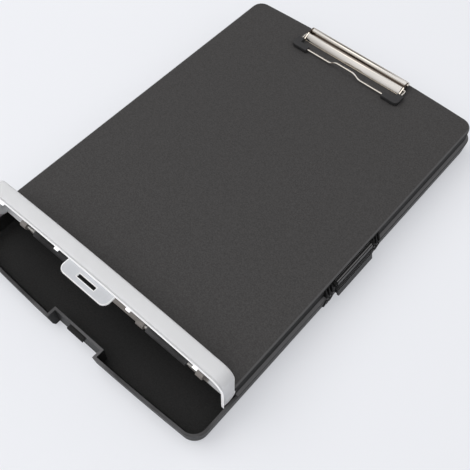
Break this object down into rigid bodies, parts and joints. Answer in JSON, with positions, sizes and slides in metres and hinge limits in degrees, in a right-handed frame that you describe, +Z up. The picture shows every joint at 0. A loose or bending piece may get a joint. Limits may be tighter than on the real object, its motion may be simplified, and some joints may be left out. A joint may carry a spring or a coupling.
{
  "type": "storage clipboard",
  "caption": "Flat document box that opens at the side, with a paper clip on its cover and a clear hinged lid over a pen compartment.",
  "frame": {"origin": "middle of the tray's flat underside", "axes": "+Z up, +Y along the box towards the clip, +X towards the side latch"},
  "size_m": [0.2495, 0.3609, 0.0661],
  "materials": {
    "black_plastic": "moulded polypropylene with a fine spark texture",
    "frosted_plastic": "frosted translucent polypropylene",
    "pin_steel": "drawn steel wire",
    "clip_nickel": "bright nickel plate",
    "grip_rubber": "soft moulded sleeves"
  },
  "bodies": {
    "tray": {"base_tray": "black_plastic", "cover_hinge_pin_front": "pin_steel", "cover_hinge_pin_rear": "pin_steel", "lid_hinge_pin_left": "pin_steel", "lid_hinge_pin_right": "pin_steel"},
    "cover": {"cover_board": "black_plastic", "latch_pin": "pin_steel", "clip_base_plate": "clip_nickel", "clip_hinge_rod": "clip_nickel", "clip_rivet_left": "clip_nickel", "clip_rivet_right": "clip_nickel", "clip_washer_left": "pin_steel", "clip_washer_right": "pin_steel"},
    "lid": {"pen_lid": "frosted_plastic"},
    "tab": {"lid_tab": "frosted_plastic"},
    "latch": {"side_latch": "black_plastic"},
    "lever": {"clip_lever": "clip_nickel"},
    "wire_frame": {"clip_wire": "clip_nickel", "clip_grip_left": "grip_rubber", "clip_grip_right": "grip_rubber"}
  },
  "joints": [
    {"name": "cover_hinge", "type": "hinge", "parent": "tray", "child": "cover", "pos_m": [-0.1214, 0, 0.0189], "axis": [0, -1, 0], "range_deg": [0, 170]},
    {"name": "pen_lid_hinge", "type": "hinge", "parent": "tray", "child": "lid", "pos_m": [0, -0.1406, 0.0265], "axis": [1, 0, 0], "range_deg": [0, 90]},
    {"name": "lid_tab_hinge", "type": "hinge", "parent": "lid", "child": "tab", "pos_m": [0, -0.1483, 0.0639], "axis": [-1, 0, 0], "range_deg": [0, 60], "stiffness_Nm_per_rad": 0.002},
    {"name": "side_latch_hinge", "type": "hinge", "parent": "cover", "child": "latch", "pos_m": [0.1202, 0, 0.0276], "axis": [0, -1, 0], "range_deg": [0, 75]},
    {"name": "clip_lever_hinge", "type": "hinge", "parent": "cover", "child": "lever", "pos_m": [0, 0.1713, 0.0367], "axis": [-1, 0, 0], "range_deg": [0, 100], "stiffness_Nm_per_rad": 0.1, "springref_deg": -17.19},
    {"name": "clip_wire_hinge", "type": "hinge", "parent": "cover", "child": "wire_frame", "pos_m": [0, 0.165, 0.0355], "axis": [-1, 0, 0], "range_deg": [0, 25]}
  ],
  "couplings": [
    {"joint": "clip_wire_hinge", "follows": "clip_lever_hinge", "ratio": 0.25}
  ]
}
